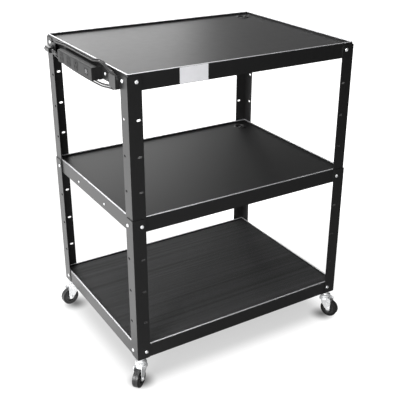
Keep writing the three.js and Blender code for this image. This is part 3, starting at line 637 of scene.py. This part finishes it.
def caster_stem(matrix):
    bm = bmesh.new()
    head = CROWN_BOTTOM - SEAT
    race = CROWN_BOTTOM + CROWN_HEIGHT + SEAT
    neck = leg_bottom - SEAT
    top = leg_bottom + GUSSET_THICKNESS + STEM_ABOVE_GUSSET
    bend = (neck - race) / 4
    lathe(bm, [
        (0, head - KINGPIN_HEAD_HEIGHT), (KINGPIN_HEAD_RADIUS * 0.8, head - KINGPIN_HEAD_HEIGHT),
        (KINGPIN_HEAD_RADIUS, head - KINGPIN_HEAD_HEIGHT * 0.7), (KINGPIN_HEAD_RADIUS, head),
        (KINGPIN_RADIUS, head), (KINGPIN_RADIUS, race), (RACE_RADIUS * 0.96, race),
        (RACE_RADIUS, race + bend * 0.2), (RACE_RADIUS, race + bend * 0.6),
        (RACE_RADIUS * 0.97, race + bend * 0.8),
        (RACE_RADIUS * 0.82, race + bend), (RACE_NECK_RADIUS * 1.12, race + bend * 1.3),
        (RACE_NECK_RADIUS, race + bend * 1.7), (RACE_NECK_RADIUS, neck - bend * 0.2),
        (RACE_NECK_RADIUS * 0.95, neck), (STEM_RADIUS, neck), (STEM_RADIUS, top - bend * 0.3),
        (STEM_RADIUS * 0.85, top), (0, top),
    ], matrix)
    return bm


def caster_nut(matrix):
    bm = bmesh.new()
    base = matrix @ Matrix.Translation((0, 0, leg_bottom + GUSSET_THICKNESS + SEAT))
    prism(bm, hexagon(STEM_NUT_RADIUS), STEM_NUT_HEIGHT, base)
    return bm


def arm_outline():
    top = CROWN_BOTTOM + CROWN_HEIGHT - ARM_TOP_DROP
    heel = -CROWN_RADIUS * ARM_BACK_SHARE
    skirt = top - ARM_SKIRT
    reach = math.hypot(CASTER_TRAIL - heel, skirt - WHEEL_RADIUS)
    tangent = math.atan2(skirt - WHEEL_RADIUS, heel - CASTER_TRAIL) + math.acos(ARM_RADIUS / reach)
    points = [(heel + ARM_TOP_WIDTH, top), (heel, top), (heel, skirt)]
    steps = 24
    for i in range(steps + 1):
        angle = tangent + (2 * math.pi - tangent) * i / steps
        x = CASTER_TRAIL + ARM_RADIUS * math.cos(angle)
        points.append((x, WHEEL_RADIUS + ARM_RADIUS * math.sin(angle)))
    points.append((CASTER_TRAIL + ARM_RADIUS, top - ARM_SHOULDER))
    return points


def caster_fork(matrix):
    bm = bmesh.new()
    top = CROWN_BOTTOM + CROWN_HEIGHT
    bore = KINGPIN_RADIUS + SEAT
    rise = CROWN_HEIGHT / 8
    lathe(bm, [
        (bore, CROWN_BOTTOM), (CROWN_RADIUS * 0.97, CROWN_BOTTOM),
        (CROWN_RADIUS, CROWN_BOTTOM + rise * 0.4),
        (CROWN_RADIUS, CROWN_BOTTOM + rise * 3.6), (CROWN_RADIUS * 0.98, CROWN_BOTTOM + rise * 4.2),
        (CROWN_RADIUS * 0.93, CROWN_BOTTOM + rise * 4.9),
        (CROWN_TOP_RADIUS * 1.12, CROWN_BOTTOM + rise * 6.9),
        (CROWN_TOP_RADIUS, top), (bore, top), (bore, CROWN_BOTTOM),
    ], matrix)
    for side in (-1, 1):
        start = FORK_INNER if side > 0 else -FORK_INNER - FORK_GAUGE
        plate = matrix @ Matrix(((1, 0, 0, 0), (0, 0, 1, start), (0, 1, 0, 0), (0, 0, 0, 1)))
        prism(bm, arm_outline(), FORK_GAUGE, plate)
    return bm


def wheel_matrix(matrix):
    turn = Matrix.Rotation(math.pi / 2, 4, "X")
    return matrix @ Matrix.Translation((CASTER_TRAIL, 0, WHEEL_RADIUS)) @ turn


def stem_place(corner):
    side_x, side_y = CORNERS[corner]
    x = cart_middle.x + side_x * ((cart_high.x - cart_low.x) / 2 - CASTER_INSET)
    y = cart_middle.y + side_y * ((cart_high.y - cart_low.y) / 2 - CASTER_INSET)
    return Vector((x, y, 0))


def wheel_contact(corner):
    angle = math.radians(SWIVEL_REST_DEGREES[corner])
    return stem_place(corner) + CASTER_TRAIL * Vector((math.cos(angle), math.sin(angle), 0))


def caster_axle(matrix):
    bm = bmesh.new()
    inner = FORK_INNER + FORK_GAUGE + SEAT
    outer = inner + BOLT_HEAD_LENGTH
    wheel = wheel_matrix(matrix)
    lathe(bm, [(0, -inner), (BOLT_RADIUS, -inner), (BOLT_RADIUS, inner), (0, inner)], wheel, 32)
    chamfer = BOLT_HEAD_LENGTH * 0.3
    head = [(0, -outer), (BOLT_HEAD_RADIUS * 0.6, -outer), (BOLT_HEAD_RADIUS * 0.9, -outer + chamfer),
            (BOLT_HEAD_RADIUS, -inner - chamfer), (BOLT_HEAD_RADIUS, -inner), (0, -inner)]
    lathe(bm, head, wheel, 32)
    nut = wheel @ Matrix.Translation((0, 0, inner))
    prism(bm, hexagon(BOLT_HEAD_RADIUS), BOLT_HEAD_LENGTH * 0.8, nut)
    lathe(bm, [(0, outer), (BOLT_RADIUS * 0.8, outer), (BOLT_RADIUS, outer - BOLT_RADIUS * 0.2),
               (BOLT_RADIUS, inner), (0, inner)], wheel, 32)
    return bm


def caster_hub(matrix):
    bm = bmesh.new()
    edge = HUB_ROUNDING
    side = [
        (HUB_BORE, HUB_BOSS_HALF), (HUB_BOSS_RADIUS - edge, HUB_BOSS_HALF),
        (HUB_BOSS_RADIUS, HUB_BOSS_HALF - edge), (HUB_BOSS_RADIUS, HUB_WEB + edge),
        (HUB_BOSS_RADIUS + edge, HUB_WEB), (HUB_WEB_RADIUS - edge, HUB_WEB),
        (HUB_WEB_RADIUS, HUB_WEB + edge), (HUB_WEB_RADIUS, HUB_HALF - edge),
        (HUB_WEB_RADIUS + edge, HUB_HALF), (HUB_RADIUS, HUB_HALF),
    ]
    lathe(bm, mirrored_profile(side), wheel_matrix(matrix))
    return bm


def caster_tyre(matrix):
    bm = bmesh.new()
    edge = TYRE_ROUNDING
    bore = HUB_RADIUS + SEAT
    section = [(bore, TYRE_HALF), (WHEEL_RADIUS, TYRE_HALF), (WHEEL_RADIUS, 0)]
    shoulder = rounded(section, [0, edge, 0], closed=False)
    side = shoulder[:-1] + [(WHEEL_RADIUS, TREAD_GROOVE)]
    lathe(bm, mirrored_profile(side), wheel_matrix(matrix), 96)
    return bm


# A thin band over the tread, paler than the tyre: a painted highlight of the tread
def caster_tread(matrix):
    bm = bmesh.new()
    half = TYRE_HALF - TYRE_ROUNDING
    top = WHEEL_RADIUS + TREAD_RISE
    side = [(WHEEL_RADIUS - TREAD_RISE, half), (top, half), (top, half * TREAD_EDGE_SHARE),
            (WHEEL_RADIUS, half * TREAD_FOOT_SHARE)]
    lathe(bm, mirrored_profile(side), wheel_matrix(matrix), 96)
    return bm


def add_casters():
    for corner in CORNERS:
        place = Matrix.Translation(stem_place(corner))
        turned = place @ Matrix.Rotation(math.radians(SWIVEL_REST_DEGREES[corner]), 4, "Z")
        swivel, wheel = f"swivel_{corner}", f"wheel_{corner}"
        pieces = {
            "stem": (caster_stem(place), "zinc_plate", "frame"),
            "nut": (caster_nut(place), "zinc_plate", "frame"),
            "fork": (caster_fork(turned), "zinc_plate", swivel),
            "axle": (caster_axle(turned), "zinc_plate", swivel),
            "hub": (caster_hub(turned), "hub_plastic", wheel),
            "tyre": (caster_tyre(turned), "tyre_rubber", wheel),
        }
        for name, (bm, look, body) in pieces.items():
            piece = from_bmesh(f"{corner}_{name}", bm, look, body)
            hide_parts(f"caster_{name}_{corner}")
            if name in ("fork", "nut", "axle"):
                bevel(piece, CASTER_EDGE)
        # Tread band with its painted highlight
        from_bmesh(f"{corner}_tread", caster_tread(turned), "tread_painted_highlight", wheel)


# Ribbed mat of the bottom shelf
RIB_PITCH = 4.2 * MM
MAT_MARGIN = 5 * MM
RIB_WIDTH_SHARE = 0.55
RIB_HEIGHT = 0.9 * MM
MAT_CORNER = 4 * MM


def add_mat():
    margin = Vector((MAT_MARGIN, MAT_MARGIN, 0))
    lower, upper = low("ribbed_mat") + margin, high("ribbed_mat") - margin
    floor = upper.z - RIB_HEIGHT
    bm = bmesh.new()
    count = int((upper.y - lower.y - 2 * MAT_CORNER) / RIB_PITCH)
    pitch = (upper.y - lower.y - 2 * MAT_CORNER) / count
    corners = [(lower.x, lower.y), (upper.x, lower.y), (upper.x, upper.y), (lower.x, upper.y)]
    outline = rounded(corners, [MAT_CORNER] * 4)
    prism(bm, outline, floor - lower.z, Matrix.Translation((0, 0, lower.z)))
    half = pitch * RIB_WIDTH_SHARE / 2
    section_share = [(-1, 0), (-0.8, 0.75), (-0.35, 1), (0.35, 1), (0.8, 0.75), (1, 0)]
    left, right = lower.x + MAT_CORNER / 2, upper.x - MAT_CORNER / 2
    for i in range(count + 1):
        y = lower.y + MAT_CORNER + i * pitch
        start = [bm.verts.new((left, y + half * a, floor + RIB_HEIGHT * b)) for a, b in section_share]
        end = [bm.verts.new((right, y + half * a, floor + RIB_HEIGHT * b)) for a, b in section_share]
        bm.faces.new(start)
        bm.faces.new(end[::-1])
        for j in range(len(start)):
            k = (j + 1) % len(start)
            bm.faces.new((start[j], end[j], end[k], start[k]))
    mat = from_bmesh("mat_with_ribs", bm, "mat_rubber", smooth_angle=50)
    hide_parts("ribbed_mat")


# Rounded rim of each shelf, in a pale coat that is a painted highlight of its edge
RIM_WIDTH = 5 * MM
RIM_RISE = 0.9 * MM
RIM_FOOT = 0.6 * MM
RIM_CORNER = 6 * MM
RIM_STEPS = 10


def add_rims():
    for shelf in ("top_shelf", "middle_shelf", "bottom_shelf"):
        lower, upper = low(shelf), high(shelf)
        bm = bmesh.new()
        loops = []
        for i in range(RIM_STEPS + 1):
            angle = math.pi * i / RIM_STEPS
            inset = RIM_WIDTH / 2 * (1 - math.cos(angle))
            height = upper.z - RIM_FOOT + (RIM_RISE + RIM_FOOT) * math.sin(angle)
            left, right = lower.x + inset, upper.x - inset
            front, back = lower.y + inset, upper.y - inset
            corners = [(left, front), (right, front), (right, back), (left, back)]
            outline = rounded(corners, [RIM_CORNER - inset] * 4)
            loops.append([bm.verts.new((x, y, height)) for x, y in outline])
        for a, b in zip(loops, loops[1:] + loops[:1]):
            for j in range(len(a)):
                k = (j + 1) % len(a)
                bm.faces.new((a[j], a[k], b[k], b[j]))
        from_bmesh(f"{shelf}_rounded_rim", bm, "rim_painted_highlight", smooth_angle=60)


# Cable grommets
GROMMET_BORE = 17 * MM
GROMMET_NECK = 19.7 * MM
GROMMET_FLANGE = 24 * MM
GROMMET_RISE = 2.2 * MM


def add_grommets():
    for level in ("top", "middle"):
        node = f"{level}_grommet"
        centre = middle(node)
        top = high(node).z
        bm = bmesh.new()
        rise = GROMMET_RISE
        profile = [
            (GROMMET_BORE, low(node).z), (GROMMET_NECK, low(node).z), (GROMMET_NECK, top - rise),
            (GROMMET_FLANGE, top - rise), (GROMMET_FLANGE, top - rise * 0.8),
            (GROMMET_FLANGE * 0.985, top - rise * 0.4), (GROMMET_FLANGE * 0.96, top - rise * 0.1),
            (GROMMET_FLANGE * 0.93, top), (GROMMET_BORE * 1.07, top),
            (GROMMET_BORE * 1.02, top - rise * 0.15), (GROMMET_BORE, top - rise * 0.6),
            (GROMMET_BORE, low(node).z),
        ]
        lathe(bm, profile, Matrix.Translation((centre.x, centre.y, 0)), 72)
        ring = from_bmesh(f"{level}_cable_ring", bm, "grommet_plastic")
        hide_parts(node)


# Small parts of the outlet strip
EAR_SCREW_OFFSET = 150 * MM
EAR_SCREW_RISE = 2 * MM
EAR_SCREW_RADIUS = 4.2 * MM
EAR_SCREW_HEIGHT = 2.4 * MM
RIVET_SPREAD = 102.6 * MM
RIVET_BACKWARD = 8.3 * MM
RIVET_BELOW_RIM = 30 * MM
RIVET_HEIGHT = 1.6 * MM
RELIEF_ROOT = 5.5 * MM
RELIEF_TIP = 3.8 * MM
RELIEF_RIBS = 6
LABEL_MIDDLE = -192.2 * MM
LABEL_WIDTH = 94 * MM
LABEL_BELOW_RIM = 1.2 * MM
LABEL_HEIGHT = 46.8 * MM
LABEL_GAUGE = 0.2 * MM
LABEL_CORNER = 1 * MM


def add_strip_screws():
    bm = bmesh.new()
    cover = middle("strip_cover")
    face = low("strip_mounting_plate").x
    for side in (-1, 1):
        place = Vector((face, cover.y + side * EAR_SCREW_OFFSET, cover.z + EAR_SCREW_RISE))
        screw_head(bm, facing(place, (-1, 0, 0)), EAR_SCREW_RADIUS, EAR_SCREW_HEIGHT)
    from_bmesh("strip_ear_screws", bm, "zinc_plate")


def add_rivets():
    bm = bmesh.new()
    face = low("middle_shelf")
    for side in (-1, 1):
        y = cart_middle.y + RIVET_BACKWARD + side * RIVET_SPREAD
        place = Vector((face.x, y, high("middle_shelf").z - RIVET_BELOW_RIM))
        screw_head(bm, facing(place, (-1, 0, 0)), RIVET_RADIUS, RIVET_HEIGHT, recess=False)
    from_bmesh("middle_shelf_rivets", bm, "zinc_plate")


def add_relief():
    start = in_strip_frame(LEAD_IN_STAND_OFF, STRIP_LENGTH / 2 + SEAT, 0)
    profile = [(0, 0), (RELIEF_ROOT, 0)]
    for i in range(RELIEF_RIBS):
        for share, swell in ((0.25, 1), (0.6, 1), (0.7, 0.86), (0.95, 0.86)):
            t = (i + share) / RELIEF_RIBS
            profile.append(((RELIEF_ROOT + (RELIEF_TIP - RELIEF_ROOT) * t) * swell, RELIEF_LENGTH * t))
    profile += [(RELIEF_TIP * 0.8, RELIEF_LENGTH), (0, RELIEF_LENGTH)]
    bm = bmesh.new()
    lathe(bm, profile, facing(start, (0, 1, 0)), 32)
    relief = from_bmesh("ribbed_strain_relief", bm, "cord_jacket", smooth_angle=60)
    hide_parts("strain_relief")
    return relief


def add_label():
    front = low("top_shelf").y
    centre = cart_middle.x + LABEL_MIDDLE
    top = top_rim - LABEL_BELOW_RIM
    half = LABEL_WIDTH / 2
    corners = [(-half, -LABEL_HEIGHT), (half, -LABEL_HEIGHT), (half, 0), (-half, 0)]
    bm = bmesh.new()
    outline = rounded(corners, [LABEL_CORNER] * 4)
    prism(bm, outline, LABEL_GAUGE, facing((centre, front, top), (0, -1, 0)))
    from_bmesh("blank_label", bm, "label_white")


# Floor, whose glow for the camera dims under the cart and round each wheel: painted shadow, over the
# lamps' own shadow in its diffuse part
FLOOR_SIZE = 40
FLOOR_THICKNESS = 0.01
FLOOR_GREY = 0.2
GLOW_IN_PAINTED_SHADOW = 0.57
SHADOW_EDGE_INSIDE = 50 * MM
SHADOW_EDGE_OUTSIDE = 60 * MM
CONTACT_SHIFT = 16 * MM
CONTACT_REACH = 60 * MM
CONTACT_SHADOW_SHARE = 0.1

# Painted reflection: a floor glow that only glossy rays see, so what the cart mirrors of the floor is
# dark in front and bright at the far left
FLOOR_SHINE = 1.55
BRIGHT_SIDE = (-0.5, 0.866, 0)
BRIGHT_FROM = -0.3
BRIGHT_TO = 0.4


def side_factor(nodes, links, vector, side, start, end):
    """Rises from 0 to 1 between two distances along a direction"""
    along = nodes.new("ShaderNodeVectorMath")
    along.operation = "DOT_PRODUCT"
    along.inputs[1].default_value = side
    rise = nodes.new("ShaderNodeMapRange")
    rise.interpolation_type = "SMOOTHSTEP"
    rise.inputs["From Min"].default_value = start
    rise.inputs["From Max"].default_value = end
    links.new(vector, along.inputs[0])
    links.new(along.outputs["Value"], rise.inputs["Value"])
    return rise.outputs["Result"]


def multiply_add(nodes, links, first, second, extra):
    node = nodes.new("ShaderNodeMath")
    node.operation = "MULTIPLY_ADD"
    for socket, value in zip(node.inputs, (first, second, extra)):
        if isinstance(value, (int, float)):
            socket.default_value = value
        else:
            links.new(value, socket)
    return node.outputs["Value"]


def add_floor():
    bm = bmesh.new()
    half = FLOOR_SIZE / 2
    outline = [(-half, -half), (half, -half), (half, half), (-half, half)]
    prism(bm, outline, FLOOR_THICKNESS, Matrix.Translation((0, 0, -FLOOR_THICKNESS)))
    mesh = bpy.data.meshes.new("floor")
    bm.to_mesh(mesh)
    bm.free()
    floor = bpy.data.objects.new("floor", mesh)
    bpy.context.scene.collection.objects.link(floor)
    material = bpy.data.materials.new("floor")
    material.use_nodes = True
    nodes, links = material.node_tree.nodes, material.node_tree.links
    nodes.clear()
    output = nodes.new("ShaderNodeOutputMaterial")
    diffuse = nodes.new("ShaderNodeBsdfDiffuse")
    diffuse.inputs["Color"].default_value = (FLOOR_GREY, FLOOR_GREY, FLOOR_GREY, 1)
    glow = nodes.new("ShaderNodeEmission")
    path = nodes.new("ShaderNodeLightPath")
    place = nodes.new("ShaderNodeNewGeometry").outputs["Position"]
    # Painted reflection: glow that only glossy rays see, bright towards the far left
    bright = side_factor(nodes, links, place, BRIGHT_SIDE, BRIGHT_FROM, BRIGHT_TO)
    shine = multiply_add(nodes, links, bright, FLOOR_SHINE, 0)
    shine = multiply_add(nodes, links, shine, path.outputs["Is Glossy Ray"], 0)
    # Painted shadow: the camera glow falls to its lower level over the cart's footprint
    around = 0
    for axis in (0, 1):
        for sign in (-1, 1):
            outward = [0, 0, 0]
            outward[axis] = sign
            edge = sign * (cart_high if sign > 0 else cart_low)[axis]
            beyond = side_factor(nodes, links, place, outward, edge - SHADOW_EDGE_INSIDE, edge + SHADOW_EDGE_OUTSIDE)
            around = multiply_add(nodes, links, beyond, 1, around)
    glow_here = multiply_add(nodes, links, around, 1 - GLOW_IN_PAINTED_SHADOW, GLOW_IN_PAINTED_SHADOW)
    # Painted contact shadows: the camera glow dims round each wheel's contact, shifted towards the cart's
    # middle
    for corner, (side_x, side_y) in CORNERS.items():
        contact = wheel_contact(corner)
        contact -= Vector((side_x * CONTACT_SHIFT, side_y * CONTACT_SHIFT, 0))
        away = nodes.new("ShaderNodeVectorMath")
        away.operation = "DISTANCE"
        away.inputs[1].default_value = contact
        links.new(place, away.inputs[0])
        contact_shadow = nodes.new("ShaderNodeMapRange")
        contact_shadow.interpolation_type = "SMOOTHSTEP"
        contact_shadow.inputs["From Max"].default_value = CONTACT_REACH
        contact_shadow.inputs["To Min"].default_value = CONTACT_SHADOW_SHARE
        links.new(away.outputs["Value"], contact_shadow.inputs["Value"])
        glow_here = multiply_add(nodes, links, glow_here, contact_shadow.outputs["Result"], 0)
    strength = multiply_add(nodes, links, path.outputs["Is Camera Ray"], glow_here, shine)
    add = nodes.new("ShaderNodeAddShader")
    links.new(strength, glow.inputs["Strength"])
    links.new(diffuse.outputs["BSDF"], add.inputs[0])
    links.new(glow.outputs["Emission"], add.inputs[1])
    links.new(add.outputs["Shader"], output.inputs["Surface"])
    mesh.materials.append(material)


# World, white for the camera, faint as light, and with a painted reflection: bright at the left for
# glossy rays only, in what the cart mirrors
AMBIENT = 0.05
SKY_SHINE = 1.0
SKY_SIDE = (-0.96, 0.28, 0)
SKY_FROM = -0.1
SKY_TO = 0.6


def set_world():
    world = bpy.data.worlds.new("studio")
    bpy.context.scene.world = world
    world.use_nodes = True
    nodes, links = world.node_tree.nodes, world.node_tree.links
    background = nodes["Background"]
    background.inputs["Color"].default_value = (1, 1, 1, 1)
    path = nodes.new("ShaderNodeLightPath")
    place = nodes.new("ShaderNodeTexCoord")
    # Painted reflection: brightness at the left that only glossy rays see
    side = side_factor(nodes, links, place.outputs["Generated"], SKY_SIDE, SKY_FROM, SKY_TO)
    shine = multiply_add(nodes, links, side, SKY_SHINE, 0)
    camera_ray = path.outputs["Is Camera Ray"]
    clear = multiply_add(nodes, links, path.outputs["Is Transmission Ray"], 1, camera_ray)
    bright = multiply_add(nodes, links, shine, path.outputs["Is Glossy Ray"], clear)
    links.new(multiply_add(nodes, links, bright, 1, AMBIENT), background.inputs["Strength"])


# Lamps, each with its place, its width and height, and its radiance
LAMP_TARGET_HEIGHT = 0.6
LAMPS = {
    "overhead": ((0, 0, 4), (3, 3), 2.4),
    "high_back": ((-0.5, 3, 3.8), (2.5, 2), 1.5),
    "back_strip": ((0.2, 3.8, 3.2), (1.6, 1.6), 2),
    "low_back": ((1.2, 4, 1.5), (2, 2.5), 2.6),
    "back_right": ((3.2, 3, 1.5), (2.5, 2.5), 0.3),
    "front_left": ((-3.2, -1.4, 1.6), (2, 2), 11),
    "front": ((-2.2, -3.6, 1.2), (2, 2), 4.2),
}


def add_lamp(name, place, target, size, radiance):
    data = bpy.data.lights.new(name, "AREA")
    data.shape = "RECTANGLE"
    data.size, data.size_y = size
    data.energy = radiance * math.pi * size[0] * size[1]
    lamp = bpy.data.objects.new(name, data)
    bpy.context.scene.collection.objects.link(lamp)
    direction = Vector(target) - Vector(place)
    turn = direction.to_track_quat("-Z", "Y").to_matrix().to_4x4()
    lamp.matrix_world = Matrix.Translation(place) @ turn
    lamp.visible_camera = False


def add_lamps():
    target = Vector((cart_middle.x, cart_middle.y, LAMP_TARGET_HEIGHT))
    for name, (place, size, radiance) in LAMPS.items():
        add_lamp(name, Vector(place), target, size, radiance)


# Edge radius of each solid whose edges are softened
SHEET_EDGE = 0.5 * MM
LEG_EDGE = 0.8 * MM
BRACKET_EDGE = 0.4 * MM
SMALL_EDGE = 0.3 * MM
edge_widths = {
    "top_shelf": SHEET_EDGE, "middle_shelf": SHEET_EDGE, "bottom_shelf": SHEET_EDGE,
    "strip_base": SHEET_EDGE, "strip_cover": SHEET_EDGE, "plug": SHEET_EDGE,
    "cord_bracket_front": BRACKET_EDGE, "cord_bracket_back": BRACKET_EDGE,
    "strip_mounting_plate": SMALL_EDGE, "charger_ports": SMALL_EDGE,
    "outlet_back": SMALL_EDGE, "outlet_middle": SMALL_EDGE, "outlet_front": SMALL_EDGE,
}
for corner in CORNERS:
    edge_widths[f"upper_leg_{corner}"] = LEG_EDGE
    edge_widths[f"lower_leg_{corner}"] = LEG_EDGE

set_camera()
add_cord([add_relief(), "plug"])
for row in frame["record"]["subparts"]:
    node = frame["nodes"][row["node"]]
    node.data.materials.clear()
    # The middle shelf takes the coat with painted shade on its upward faces
    look = "powder_coat_painted_shade" if row["node"] == "middle_shelf" else row["material_slot"]
    node.data.materials.append(looks[look])
    if row["node"] in edge_widths:
        bevel(node, edge_widths[row["node"]])
add_shelf_screws()
add_strip_screws()
add_rivets()
add_label()
add_casters()
add_mat()
add_rims()
add_grommets()
add_floor()
set_world()
add_lamps()
bpy.context.scene.view_settings.view_transform = "Standard"
